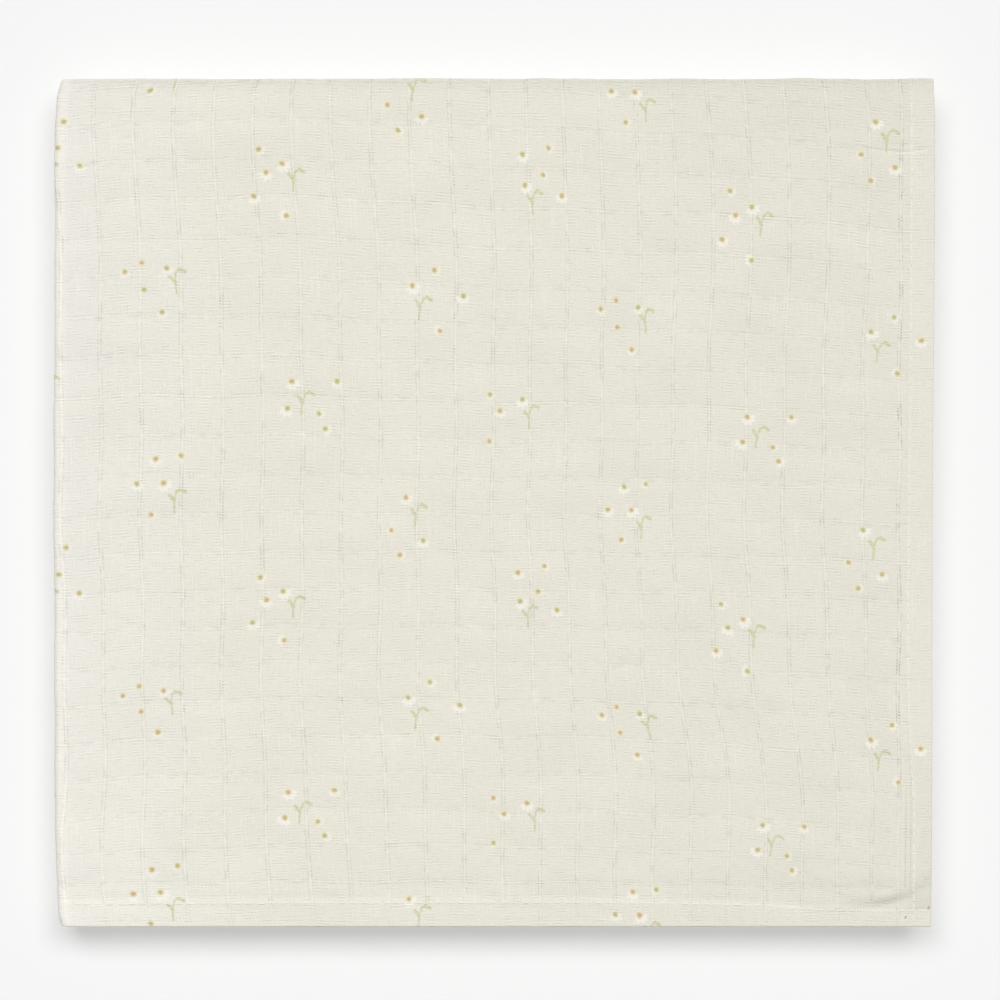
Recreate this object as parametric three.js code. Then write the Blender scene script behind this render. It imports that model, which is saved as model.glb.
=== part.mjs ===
// Folded muslin swaddle blanket. One hemmed panel of double gauze lies folded back and forth into
// four across its depth, and that bundle is folded back and forth into four across its width, so
// sixteen layers lie flat on each other. The side hem and the end hem of the top layer show, and
// the other two edges of the packet are folds.
// Millimetres. +X points to the hemmed side, +Y to the folded top edge, +Z up.

import * as THREE from 'three';

// Cloth
const SHEET = 1.0; // thickness of the double gauze
const GAP = 0.2; // air between two layers
const FOLDS = 4; // layers made by each folding
const HEM_WIDTH = 7.6; // turned hem, from the cut edge to its stitch line
const HEM_RISE = 0.35; // how far the hem stands above the cloth on the printed face
const HEM_STEP = 1.6; // width of the slope down from the hem
const EDGE_ROUND = 0.9; // the last stretch of cloth before a cut edge, where it thins
const EDGE_THIN = 0.7; // share of the thickness left at a cut edge

// Layers
const PITCH = SHEET + GAP;
const BUNDLE = FOLDS * PITCH;
const HALF_SHEET = SHEET / 2;
const HALF_BUNDLE = (BUNDLE - GAP) / 2;
const STACK = FOLDS * BUNDLE - GAP;

// How far the cloth reaches at each of its ends and folds, in the order of the cloth from the
// hem that shows: along Y for the first folding, and along X for the folding of the bundle.
const END_REACH = [
  { place: 'end hem', reach: -145.3 },
  { place: 'top fold', reach: 145.3 },
  { place: 'inner bottom fold', reach: -143.9 },
  { place: 'inner top fold', reach: 144.5 },
  { place: 'far hem', reach: -144.3 },
];
const SIDE_REACH = [
  { place: 'side hem', reach: 151.0 },
  { place: 'upper left fold', reach: -150.9 },
  { place: 'right fold', reach: 149.4 },
  { place: 'lower left fold', reach: -150.2 },
  { place: 'far side hem', reach: 150.1 },
];

// Grid lines that cut the flat panels, and the steps of each fold.
const SIDE_LINES = [-132, -80, -27, 27, 80, 124];
const END_LINES = [-124, -78, -26, 26, 78, 132];
const SIDE_FOLD_STEPS = 6;
const END_FOLD_STEPS = 4;

// The packet's left and right edges, from top to bottom: how far each is drawn in.
const OUTLINE = [
  { y: 146, left: 3.3, right: 0.6 },
  { y: 141, left: 1.5, right: 0.3 },
  { y: 130, left: 0.6, right: 0.0 },
  { y: 105, left: 0.4, right: 0.0 },
  { y: 0, left: 0.0, right: 0.8 },
  { y: -110, left: 0.8, right: 1.1 },
  { y: -134, left: 1.5, right: 1.3 },
  { y: -142, left: 2.1, right: 1.4 },
  { y: -146, left: 3.1, right: 1.5 },
];

// Lower layers are drawn in under the top one by up to this much, and the wave turns with height.
const WANDER = { size: 2.4, waveX: 47, waveY: 52, turn: 0.42 };

// Soft heights of the packet, as shares of its height: it swells in waves and slumps by the hems.
const SWELL = { share: 0.022, waveX: 61, waveY: 57, shiftX: 0.9, shiftY: 2.1 };
const SLUMP = { share: 0.055, reach: 16 };

// By the hemmed corner the top layer stands off the others, but for a trough that runs beside the
// end hem and bends up across the side hem: an arc about (x, y) with a straight run before it.
const CORNER = { x: 116, y: -90.4, radius: 48, lift: 0.5, half: 3.4, straight: 30 };
const TOP_LAYER = { from: (STACK - SHEET - GAP) / STACK, to: (STACK - SHEET) / STACK };

const COTTON = new THREE.MeshStandardMaterial({
  name: 'muslin',
  color: new THREE.Color().setRGB(0.9, 0.886, 0.843, THREE.SRGBColorSpace),
  roughness: 0.95,
  metalness: 0,
});

const clamp01 = (t) => Math.min(1, Math.max(0, t));

const smooth = (low, high, value) => {
  const t = clamp01((value - low) / (high - low));
  return t * t * (3 - 2 * t);
};

// The stations of a strip folded back and forth. Each has its place along the packet, its level,
// its normal towards the printed face, its panel and its distance from either end of the cloth.
// The stations of a fold belong to the panel above it.
function foldedStrip(rows, pitch, half, lines, steps, endLines) {
  const outer = pitch / 2 + half;
  const turn = rows.map(({ reach }, i) => {
    const atEnd = i === 0 || i === rows.length - 1;
    return atEnd ? reach : reach - Math.sign(reach) * outer;
  });
  const stations = [];
  for (let panel = 0; panel < FOLDS; panel += 1) {
    const from = turn[panel];
    const to = turn[panel + 1];
    const way = Math.sign(to - from);
    const level = ((FOLDS - 1) / 2 - panel) * pitch;
    const up = panel % 2 === 0 ? 1 : -1;
    const cuts = lines.filter((line) => (line - from) * way > 0 && (to - line) * way > 0);
    if (panel === 0) cuts.push(...endLines.map((d) => from + way * d));
    if (panel === FOLDS - 1) cuts.push(to - way * EDGE_ROUND);
    cuts.sort((a, b) => (a - b) * way);
    for (const place of [from, ...cuts, to]) {
      const end = panel === 0 ? Math.abs(place - from) : Infinity;
      const farEnd = panel === FOLDS - 1 ? Math.abs(to - place) : Infinity;
      stations.push({ place, level, across: 0, up, panel, end, farEnd });
    }
    if (panel === FOLDS - 1) break;
    for (let step = 1; step < steps; step += 1) {
      const angle = (Math.PI * step) / steps;
      stations.push({
        place: to + (way * Math.sin(angle) * pitch) / 2,
        level: level - pitch / 2 + (Math.cos(angle) * pitch) / 2,
        across: up * way * Math.sin(angle),
        up: up * Math.cos(angle),
        panel,
        end: Infinity,
        farEnd: Infinity,
      });
    }
  }
  return stations;
}

// A row of OUTLINE for any height y, between its two neighbours.
function outlineAt(y, column) {
  const next = OUTLINE.findIndex((row) => row.y <= y);
  if (next === 0) return OUTLINE[0][column];
  if (next < 0) return OUTLINE[OUTLINE.length - 1][column];
  const above = OUTLINE[next - 1];
  const below = OUTLINE[next];
  const share = (above.y - y) / (above.y - below.y);
  return above[column] + (below[column] - above[column]) * share;
}

// How far the top layer stands off the others at (x, y).
function cornerLift(x, y) {
  const { x: cx, y: cy, radius, lift, half, straight } = CORNER;
  const across = Math.max(0, x - cx);
  const fromTrough = (Math.hypot(across, y - cy) - radius) / half;
  const near = smooth(cx - straight, cx, x) * smooth(cy + radius, cy, y);
  return lift * near * (1 - Math.exp(-fromTrough * fromTrough));
}

// Moves a point of the flat packet to where it lies in the settled one. Every move keeps the
// order of the layers, and the underside stays on the plane z = 0.
function settle({ x, y, z }) {
  const height = z / STACK;
  const drawIn = (WANDER.size * (1 - height)) / 2;
  const inX = drawIn * (1 + Math.sin(y / WANDER.waveY + z * WANDER.turn));
  const inY = drawIn * (1 + Math.sin(x / WANDER.waveX - z * WANDER.turn));
  const left = outlineAt(y, 'left') * smooth(20, -146, x);
  const right = outlineAt(y, 'right') * smooth(-20, 146, x);
  const sx = x + left - right - (inX * x) / SIDE_REACH[0].reach;
  const sy = y - (inY * y) / END_REACH[1].reach;

  const fromSide = (SIDE_REACH[0].reach - x) / SLUMP.reach;
  const fromEnd = (y - END_REACH[0].reach) / SLUMP.reach;
  const slump = SLUMP.share * Math.max(Math.exp(-fromSide), Math.exp(-fromEnd));
  const swell =
    SWELL.share * Math.sin(x / SWELL.waveX + SWELL.shiftX) * Math.sin(y / SWELL.waveY + SWELL.shiftY);
  const lift = cornerLift(x, y) * smooth(TOP_LAYER.from, TOP_LAYER.to, height);
  return new THREE.Vector3(sx, sy, z * (1 + swell - slump) + lift);
}

// Thickness of the cloth on one side of its middle. The hem stands up only on the top layer.
function reachFromMiddle(side, end, printed) {
  const edge = Math.min(side.end, end.end, side.farEnd, end.farEnd);
  const thin = EDGE_THIN + (1 - EDGE_THIN) * smooth(0, EDGE_ROUND, edge);
  const onTop = printed && side.panel === 0 && end.panel === 0;
  const fromHem = Math.min(side.end, end.end) - HEM_WIDTH;
  const rise = onTop ? HEM_RISE * (1 - smooth(0, HEM_STEP, fromHem)) : 0;
  return (HALF_SHEET + rise) * thin;
}

function clothPoint(side, end, printed) {
  const offset = reachFromMiddle(side, end, printed) * (printed ? 1 : -1);
  const y = end.place + offset * end.across;
  const h = end.level + offset * end.up;
  const x = side.place + h * side.across;
  const z = side.level + h * side.up + STACK / 2;
  return settle({ x, y, z });
}

// The closed skin of the cloth: its printed face, its back and the strip along its cut edges.
function clothGeometry() {
  const hemLines = [EDGE_ROUND, HEM_WIDTH, HEM_WIDTH + HEM_STEP];
  const sides = foldedStrip(SIDE_REACH, BUNDLE, HALF_BUNDLE, SIDE_LINES, SIDE_FOLD_STEPS, hemLines);
  const ends = foldedStrip(END_REACH, PITCH, HALF_SHEET, END_LINES, END_FOLD_STEPS, hemLines);
  const points = [];
  for (const printed of [true, false]) {
    for (const side of sides) {
      for (const end of ends) points.push(clothPoint(side, end, printed));
    }
  }
  const front = (i, j) => i * ends.length + j;
  const back = (i, j) => sides.length * ends.length + front(i, j);
  const triangles = [];
  const quad = (a, b, c, d) => triangles.push(a, b, c, a, c, d);
  const lastSide = sides.length - 1;
  const lastEnd = ends.length - 1;
  for (let i = 0; i < lastSide; i += 1) {
    for (let j = 0; j < lastEnd; j += 1) {
      const printed = [front(i, j), front(i, j + 1), front(i + 1, j + 1), front(i + 1, j)];
      const plain = [back(i, j), back(i + 1, j), back(i + 1, j + 1), back(i, j + 1)];
      // Every second layer runs the other way, so its quads are split on the other diagonal and
      // the facets of neighbouring layers match.
      if ((sides[i].panel + ends[j].panel) % 2 === 1) {
        printed.push(printed.shift());
        plain.push(plain.shift());
      }
      quad(...printed);
      quad(...plain);
    }
    quad(back(i, 0), front(i, 0), front(i + 1, 0), back(i + 1, 0));
    quad(front(i, lastEnd), back(i, lastEnd), back(i + 1, lastEnd), front(i + 1, lastEnd));
  }
  for (let j = 0; j < lastEnd; j += 1) {
    quad(front(0, j), back(0, j), back(0, j + 1), front(0, j + 1));
    quad(back(lastSide, j), front(lastSide, j), front(lastSide, j + 1), back(lastSide, j + 1));
  }
  const geometry = new THREE.BufferGeometry().setFromPoints(points);
  geometry.setIndex(triangles);
  geometry.computeVertexNormals();
  return geometry;
}

// Puts the middle of the packet's underside on the origin.
function centreOnBase(geometry) {
  geometry.computeBoundingBox();
  const { min, max } = geometry.boundingBox;
  geometry.translate(-(min.x + max.x) / 2, -(min.y + max.y) / 2, -min.z);
  return geometry;
}

const blanket = new THREE.Mesh(centreOnBase(clothGeometry()), COTTON);
blanket.name = 'blanket';

const packet = new THREE.Group();
packet.add(blanket);

export default packet;
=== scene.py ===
"""A muslin swaddle blanket, folded in four across its depth and in four across its width.

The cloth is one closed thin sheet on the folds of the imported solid. It takes the solid's folding
and settling, here at a fine pitch, and adds the relief of the tacked double gauze, the turned
hems, the small creases, the print and the sewing. Lengths are millimetres until a mesh is made.
"""
import math

import bpy
import numpy as np
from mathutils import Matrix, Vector


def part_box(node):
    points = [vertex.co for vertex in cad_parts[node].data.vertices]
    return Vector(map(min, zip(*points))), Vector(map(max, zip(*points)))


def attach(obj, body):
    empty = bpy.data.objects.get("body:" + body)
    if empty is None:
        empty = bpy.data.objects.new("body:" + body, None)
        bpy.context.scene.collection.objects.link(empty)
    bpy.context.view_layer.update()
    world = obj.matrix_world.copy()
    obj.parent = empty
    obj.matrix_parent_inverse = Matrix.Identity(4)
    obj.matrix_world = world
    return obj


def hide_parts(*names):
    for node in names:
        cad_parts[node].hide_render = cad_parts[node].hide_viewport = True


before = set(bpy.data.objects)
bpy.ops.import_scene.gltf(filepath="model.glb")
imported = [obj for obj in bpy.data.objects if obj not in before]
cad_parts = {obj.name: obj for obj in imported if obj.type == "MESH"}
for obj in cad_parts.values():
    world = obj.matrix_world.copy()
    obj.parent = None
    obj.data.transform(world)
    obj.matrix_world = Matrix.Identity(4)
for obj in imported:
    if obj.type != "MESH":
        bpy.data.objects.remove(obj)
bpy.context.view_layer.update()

MM = 0.001

# Cloth and layers, as in the solid.
SHEET = 1.0
GAP = 0.2
FOLDS = 4
PITCH = SHEET + GAP
BUNDLE = FOLDS * PITCH
HALF_SHEET = SHEET / 2
HALF_BUNDLE = (BUNDLE - GAP) / 2
STACK = FOLDS * BUNDLE - GAP
# How far the cloth reaches at its ends and folds, from the hem that shows to the far hem.
END_REACH = (-145.3, 145.3, -143.9, 144.5, -144.3)
SIDE_REACH = (151.0, -151.6, 149.4, -150.6, 150.1)

# How far the packet's left and right edges are drawn in, from bottom to top.
OUTLINE = {
    "y": (-146, -142, -134, -110, 0, 105, 130, 141, 146),
    "left": (3.1, 2.1, 1.5, 0.8, 0.0, 0.4, 0.6, 1.5, 3.3),
    "right": (1.5, 1.4, 1.3, 1.1, 0.8, 0.0, 0.0, 0.3, 0.6),
}
WANDER = {"size": 2.4, "wave_x": 47, "wave_y": 52, "turn": 0.42}
SWELL = {"share": 0.022, "wave_x": 61, "wave_y": 57, "shift_x": 0.9, "shift_y": 2.1}
SLUMP = {"share": 0.055, "reach": 16}
LEFT_SLUMP = {"drop": 0.9, "reach": 15}
FOLD_SHAPE = {"side": 4.2, "end": 3.0}  # 2 for round folds, more for ones pressed flat
CORNER = {
    "x": 122, "y": -90.6, "radius": 49, "lift": 0.6, "half": 2.6, "grows": (116, 142),
    "outside": 0.15,
}
TOP_LAYER = ((STACK - SHEET - GAP) / STACK, (STACK - SHEET) / STACK)

# Double gauze: two gauzes tacked to each other along lines, in squares.
TACK = {"side": 11.8, "end": 15.7, "pitch_side": 13.05, "pitch_end": 13.03, "half": 0.6}
GROOVE = {"side": 0.05, "end": 0.03}  # depth of a tacking line
PUFF = 0.13  # rise of a square between its tacking lines

# Hems: the edge rounds off, and the turned part stands up as far as its sewing line. Its width
# changes along the packet.
EDGE_ROUND = 0.35
EDGE_THIN = 0.45
HEM_RISE = 0.22
HEM_STEP = 1.6
SIDE_HEM = ((-146, -95, -70, -37, 0, 146), (6.4, 6.6, 8.4, 9.0, 8.5, 8.4))  # y and width
END_HEM = ((-151, -60, 40, 84, 106, 151), (8.2, 8.7, 8.8, 7.9, 6.2, 6.0))  # x and width

# How far the cloth's own threads lie to the right of true and above it, as the cloth is pulled
# about a little when it is folded: a row for each height y, read at the places along x.
LEAN_X_PLACES = (-135, -94, -53, 0, 37, 75, 101, 139)
LEAN_X = {
    -130: (-1, 3, 7, 7, 6.5, 6.5, 6.5, 4),
    -110: (-0.5, 3, 6, 8, 7.5, 8, 8, 4),
    -90: (0.5, 2.5, 4.5, 7, 6.5, 6.5, 5, 4),
    -60: (0.5, 2, 3.5, 5, 4.5, 2, 2, 2.5),
    0: (-0.5, 2.5, 4.5, 3.5, 1.5, -1, -1, 1.5),
    60: (-0.5, 2.5, 4, 4.5, 2.5, 0, 0, 1),
    112: (-1.5, 0, 1.5, 4, 2.5, 1.5, 1.5, 3.5),
    138: (-4.5, -1.5, -1, 2, 0.5, -2, -1.5, 3),
}
LEAN_Y_PLACES = (-145, -118, -67, -12, 43, 98, 135)
LEAN_Y = {
    -130: (-4, -2.5, -0.5, 0, -2, -4, -8),
    -77: (-5.5, -3.5, -2, -2.5, -3, -7, -10),
    -25: (-7, -5, -4.5, -4, -5, -6, -8),
    14: (-5, -4, -3.5, -5.5, -5.5, -6.5, -8.5),
    53: (-3, -2, -2.5, -5, -6.5, -8.5, -12),
    79: (-2, -1, -1, -4.5, -6, -8, -12.5),
    105: (-2, -0.5, 0.5, -3, -5, -6.5, -11),
    131: (-2.5, -1, 0.5, -1.5, -4, -6.5, -10.5),
}
LEAN_SPREAD = 9  # the leans are evened out over this far
HEM_TRUE = (9, 28)  # the threads run true at a hem, and lean in full this far from it
LEAN_FREE = 13  # the mesh's own lines come back to true over this far at an edge

# The print: clusters of small daisies, each with one leaf sprig. A daisy's row is its place, the
# way that its petals fan out, in degrees from +X, and their length. The whole repeats by two steps.
REPEAT_UP = (-2.2, -142.0)
REPEAT_ACROSS = (160.5, -8.0)
CLUSTERS = [
    {"sprig": (-70, 111, 0),
     "daisies": [(-81, 121, -45, 2.1), (-73.5, 116, -62, 2.9), (-79, 113, -100, 2.7),
                 (-83.5, 105, -72, 2.6), (-73, 98.5, 175, 2.3)]},
    {"sprig": (9.5, 107.5, 4),
     "daisies": [(6.5, 122.5, -75, 2.6), (16, 125, -20, 1.8), (13.5, 116, -10, 1.7),
                 (7, 112.5, -60, 2.8), (20, 109.5, -95, 2.5)]},
    {"sprig": (-29.5, 71.5, -5),
     "daisies": [(-24.5, 83.5, -40, 2.0), (-32, 78, -72, 2.9), (-15, 75.5, -95, 2.7),
                 (-23, 63.5, 160, 2.0)]},
    {"sprig": (50, 69.5, 10),
     "daisies": [(34, 72.5, -90, 2.1), (39.5, 75.5, -60, 1.0), (47.5, 73.5, -72, 2.3),
                 (40, 66.5, 160, 1.1), (45.5, 59, -85, 2.1)]},
    {"sprig": (-69.5, 38, -3),
     "daisies": [(-73, 44.5, -66, 2.9), (-58, 45, -90, 2.3), (-74.5, 35.5, -115, 2.8),
                 (-64, 34, -15, 1.8), (-62, 29, -30, 2.2)]},
    {"sprig": (8.5, 35.5, 6),
     "daisies": [(-5.5, 42.5, -55, 1.7), (6, 41, -85, 2.8), (-2, 37, -80, 2.5),
                 (-5.5, 26.5, -50, 1.6)]},
    {"sprig": (-31, 1, -2),
     "daisies": [(-34.5, 6.5, -60, 2.7), (-39.5, -5, -150, 1.5), (-28.5, -8.5, -85, 2.6),
                 (-36.5, -13.5, -10, 1.8)]},
    {"sprig": (49.5, -2.5, 2),
     "daisies": [(43.5, 11, -95, 2.6), (51.5, 12, -135, 1.7), (37.5, 3, -72, 2.5),
                 (46, 3, -62, 2.9), (42, -7.5, -25, 1.8)]},
]
DAISIES = 5  # the most in a cluster
FAR_AWAY = 1000.0  # where a motif is put that a face doesn't show


def smooth(low, high, value):
    t = np.clip((value - low) / (high - low), 0.0, 1.0)
    return t * t * (3 - 2 * t)


def ripple(seed, *places):
    """A smooth uneven wave of any number of coordinates, mostly within -1 to 1."""
    rng = np.random.default_rng(seed)
    total = 0.0
    for _ in range(7):
        way = rng.normal(size=len(places))
        way *= rng.uniform(0.6, 1.5) / np.linalg.norm(way)
        phase = rng.uniform(0, 2 * math.pi)
        total = total + np.sin(2 * math.pi * sum(w * p for w, p in zip(way, places)) + phase)
    return total / 2.6


# ---- How the cloth is folded ----


def top_cuts(extra, first, pitch, length):
    """Where the top panel is cut: at its hem, at each tacking line and between the lines."""
    cuts = list(extra)
    line = first
    while line < length - TACK["half"] - CUT_MARGIN:
        cuts += [line, *(line + np.linspace(TACK["half"], pitch - TACK["half"], CUTS_BETWEEN + 2))]
        line += pitch
    cuts = sorted(cut for cut in cuts if cut < length - CUT_MARGIN)
    kept = [cuts[0]]
    for cut in cuts[1:]:
        if cut - kept[-1] > CUT_MARGIN / 2:
            kept.append(cut)
    return kept


def folded_strip(reach, pitch, half, shape, first_cuts, steps):
    """The stations of a strip that is folded back and forth, each a row of one array.

    place and level say where it lies, across and up its normal towards the printed face, arc how
    far along the cloth it is, far_end how far from the cloth's other end, turn how far round the
    fold after its panel, turned its angle from lying flat with the print up, and top where on
    the top panel it belongs.
    """
    outer = pitch / 2 + half
    last = len(reach) - 1
    turns = [r if i in (0, last) else r - math.copysign(outer, r) for i, r in enumerate(reach)]
    length = sum(abs(b - a) for a, b in zip(turns, turns[1:])) + (FOLDS - 1) * math.pi * pitch / 2
    rows = []
    arc = 0.0
    for panel in range(FOLDS):
        start, stop = turns[panel], turns[panel + 1]
        way = math.copysign(1, stop - start)
        run = abs(stop - start)
        level = ((FOLDS - 1) / 2 - panel) * pitch
        up = 1 if panel % 2 == 0 else -1
        cuts = first_cuts if panel == 0 else [share * run for share in LOWER_CUTS]
        if panel == FOLDS - 1:
            cuts += [run - EDGE_ROUND, run - EDGE_ROUND / 2, run - EDGE_ROUND / 6]
        for d in sorted([0.0, *cuts, run]):
            flat = 0.0 if up > 0 else math.pi
            rows.append((start + way * d, level, 0, up, panel, arc + d, 0.0, flat))
        arc += run
        if panel == FOLDS - 1:
            break
        for step in range(1, steps[panel]):
            angle = math.pi * step / steps[panel]
            c, s = math.cos(angle), math.sin(angle)
            size = (abs(c) ** shape + s**shape) ** (-1 / shape)
            rows.append((
                stop + way * s * size * pitch / 2,
                level - pitch / 2 + c * size * pitch / 2,
                up * way * s * size,
                up * c * size,
                panel,
                arc + angle * pitch / 2,
                step / steps[panel],
                angle if up > 0 else math.pi - angle,
            ))
        arc += math.pi * pitch / 2
    names = ("place", "level", "across", "up", "panel", "arc", "turn", "turned")
    strip = dict(zip(names, np.array(rows, float).T))
    on_top = (strip["panel"] == 0) & (strip["turn"] == 0)
    strip["top"] = np.where(on_top, strip["place"], turns[1])
    strip["far_end"] = length - strip["arc"]
    return strip


# ---- How the packet settles ----


def corner_lift(x, y):
    """How far the top layer stands off the others: all but the trough by the hemmed corner."""
    across = np.maximum(0, x - CORNER["x"])
    from_trough = (np.hypot(across, y - CORNER["y"]) - CORNER["radius"]) / CORNER["half"]
    near = smooth(*CORNER["grows"], x)
    near = near * smooth(CORNER["y"] + CORNER["radius"], CORNER["y"], y)
    near = near * np.where(from_trough > 0, CORNER["outside"], 1.0)
    return CORNER["lift"] * near * (1 - np.exp(-(from_trough**2)))


# The lower layers' edges lie in by odd amounts: by up to size, in waves along the edge and with
# height, fading over the last edge millimetres. The layers free to move are those under the top
# layer's hem and fold, and under the upper left fold.
UNEVEN = {"size": 1.3, "along": 44, "height": 5.2, "edge": 38}
FREE = {"side": (STACK - 1.5, STACK - 2.8), "left": (9.5, 7.5), "end": (STACK - 2.4, STACK - 4.4)}
LAYER_WAVE = {"size": 0.13, "along": 36, "height": 7.0, "at_edge": 0.45, "edge": 24}
HALF_WIDTH, HALF_DEPTH = 150, 145  # the packet's, near enough for what fades at its edges


def odd_amount(seed, place, half, other, z):
    """How far points of the lower layers move in from the edges at half and -half."""
    share = 0.5 + 0.5 * ripple(seed, other / UNEVEN["along"], z / UNEVEN["height"])
    by_edge = smooth(half - UNEVEN["edge"], half, np.abs(place))
    return np.sign(place) * UNEVEN["size"] * np.clip(share, -0.2, 1.2) * by_edge


def uneven(x, y, z):
    """Moves the lower layers' edges in by odd amounts and gives the top face, and each layer by
    the packet's edges, a slow wave. No layers cross: each move is along one axis and small."""
    free_side = np.where(x > 0, smooth(*FREE["side"], z), smooth(*FREE["left"], z))
    x = x - odd_amount(11, x, HALF_WIDTH, y, z) * free_side
    y = y - odd_amount(12, y, HALF_DEPTH, x, z) * smooth(*FREE["end"], z)
    wave = ripple(13, x / LAYER_WAVE["along"], y / LAYER_WAVE["along"], z / LAYER_WAVE["height"])
    from_edge = np.minimum(HALF_WIDTH - np.abs(x), HALF_DEPTH - np.abs(y))
    by_edge = smooth(LAYER_WAVE["edge"], 0, from_edge)
    share = np.maximum(LAYER_WAVE["at_edge"] * by_edge, smooth(STACK - 0.9, STACK - 0.1, z))
    z = z + LAYER_WAVE["size"] * wave * share * smooth(0, 3, z)
    return x, y, z


def settle(x, y, z):
    """Moves points of the flat packet to where they lie in the settled one."""
    x, y, z = uneven(x, y, z)
    height = z / STACK
    draw_in = WANDER["size"] * (1 - height) / 2
    in_x = draw_in * (1 + np.sin(y / WANDER["wave_y"] + z * WANDER["turn"]))
    in_y = draw_in * (1 + np.sin(x / WANDER["wave_x"] - z * WANDER["turn"]))
    left = np.interp(y, OUTLINE["y"], OUTLINE["left"]) * smooth(20, -146, x)
    right = np.interp(y, OUTLINE["y"], OUTLINE["right"]) * smooth(-20, 146, x)
    sx = x + left - right - in_x * x / SIDE_REACH[0]
    sy = y - in_y * y / END_REACH[1]
    from_side = (SIDE_REACH[0] - x) / SLUMP["reach"]
    from_end = (y - END_REACH[0]) / SLUMP["reach"]
    slump = SLUMP["share"] * np.maximum(np.exp(-from_side), np.exp(-from_end))
    swell = SWELL["share"] * np.sin(x / SWELL["wave_x"] + SWELL["shift_x"])
    swell = swell * np.sin(y / SWELL["wave_y"] + SWELL["shift_y"])
    from_left = (x - SIDE_REACH[1]) / LEFT_SLUMP["reach"]
    left_slump = LEFT_SLUMP["drop"] / STACK * np.exp(-(from_left**2))
    lift = corner_lift(x, y) * smooth(*TOP_LAYER, height)
    return np.stack([sx, sy, z * (1 + swell - slump - left_slump) + lift], axis=-1)


def lean_of(places, rows, x, y):
    """How far the cloth's threads lie off true at (x, y), evened out over LEAN_SPREAD."""
    heights = list(rows)
    offsets = (-LEAN_SPREAD, 0, LEAN_SPREAD)
    total = 0.0
    for row, only_this in zip(rows.values(), np.eye(len(rows))):
        lean = sum(np.interp(x + offset, places, row) for offset in offsets)
        share = sum(np.interp(y + offset, heights, only_this) for offset in offsets)
        total = total + lean * share
    return total / len(offsets) ** 2


def threads_at(side, end):
    """Where points of the folded strips lie, with the mesh's lines leaning as the threads do, as
    shifts and as distances along the cloth from the side hem and from the end hem. Then which
    threads cross there, and which would if they didn't come back to true at the hems, as the
    print doesn't."""
    x0, y0 = np.broadcast_arrays(side["top"], end["top"])
    from_hem_x, from_hem_y = SIDE_REACH[0] - x0, y0 - END_REACH[0]
    true_x, true_y = smooth(*HEM_TRUE, from_hem_x), smooth(*HEM_TRUE, from_hem_y)
    free_x = smooth(151, 151 - LEAN_FREE, np.abs(x0)) * (side["panel"] == 0)
    free_y = smooth(HALF_DEPTH, HALF_DEPTH - LEAN_FREE, np.abs(y0)) * (end["panel"] == 0)
    shift_x = lean_of(LEAN_X_PLACES, LEAN_X, x0, y0) * true_x * free_x * (side["turn"] == 0)
    shift_y = lean_of(LEAN_Y_PLACES, LEAN_Y, x0, y0) * true_y * free_y * (end["turn"] == 0)
    lean_x = lean_of(LEAN_X_PLACES, LEAN_X, x0 + shift_x, y0 + shift_y)
    lean_y = lean_of(LEAN_Y_PLACES, LEAN_Y, x0 + shift_x, y0 + shift_y)
    s = side["arc"] - shift_x + side["turned"] * end["level"]
    t = end["arc"] + shift_y
    threads = (s + lean_x * true_x, t - lean_y * true_y)
    return shift_x, shift_y, (s, t), threads, (s + lean_x, t - lean_y)


# ---- Relief of the cloth that shows on top ----

# Soft creases that the folding left, from one point of the packet to another, in millimetres:
# a trough is below the cloth around it and a ridge above.
CREASES = [
    {"from": (98, -140.6), "to": (134, -139.6), "half": 1.1, "rise": -0.14},
    {"from": (129, -139.0), "to": (148, -134.6), "half": 1.4, "rise": -0.3},
    {"from": (129, -136.2), "to": (148, -131.6), "half": 2.2, "rise": 0.34},
    {"from": (126, 121.4), "to": (142, 119.9), "half": 0.6, "rise": -0.18},
    {"from": (138, 119.9), "to": (150, 121.6), "half": 0.6, "rise": -0.2},
    {"from": (128, 122.8), "to": (146, 122.3), "half": 0.6, "rise": -0.11},
    {"from": (96, -101), "to": (112, -107), "half": 2.2, "rise": 0.12},
    {"from": (-151, 60), "to": (-120, 52), "half": 5.0, "rise": 0.15},
    {"from": (-60, 146), "to": (-40, 118), "half": 4.5, "rise": 0.12},
    {"from": (20, -20), "to": (70, -42), "half": 7.0, "rise": -0.14},
]
# The folded top edge stands up in a soft roll, the seam in a ridge, the cloth beside it puckers,
# and slow waves run through the whole top.
TOP_ROLL = {"rise": 0.12, "at": 1.0, "half": 3.0}
SEAM = {"rise": 0.06, "uneven": 0.03, "along": 9, "half": 0.8, "inside": 0.4}
PUCKER = {"size": 0.07, "along": 8, "half": 5}
WAVES = [{"seed": 24, "size": 0.12, "x": 46, "y": 34}, {"seed": 25, "size": 0.06, "x": 17, "y": 13}]


def crease(row, x, y):
    """One soft crease: full height along its line, fading over its half width and its ends."""
    start, stop = np.array(row["from"], float), np.array(row["to"], float)
    run = stop - start
    share = ((x - start[0]) * run[0] + (y - start[1]) * run[1]) / (run @ run)
    share_on = np.clip(share, 0, 1)
    away = np.hypot(x - start[0] - run[0] * share_on, y - start[1] - run[1] * share_on)
    ends = smooth(-0.02, 0.3, share) * smooth(1.02, 0.7, share)
    return row["rise"] * np.exp(-((away / row["half"]) ** 2)) * ends


def from_line(along, first, pitch):
    """Signed distance to the nearest tacking line."""
    return (along - first + pitch / 2) % pitch - pitch / 2


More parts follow.
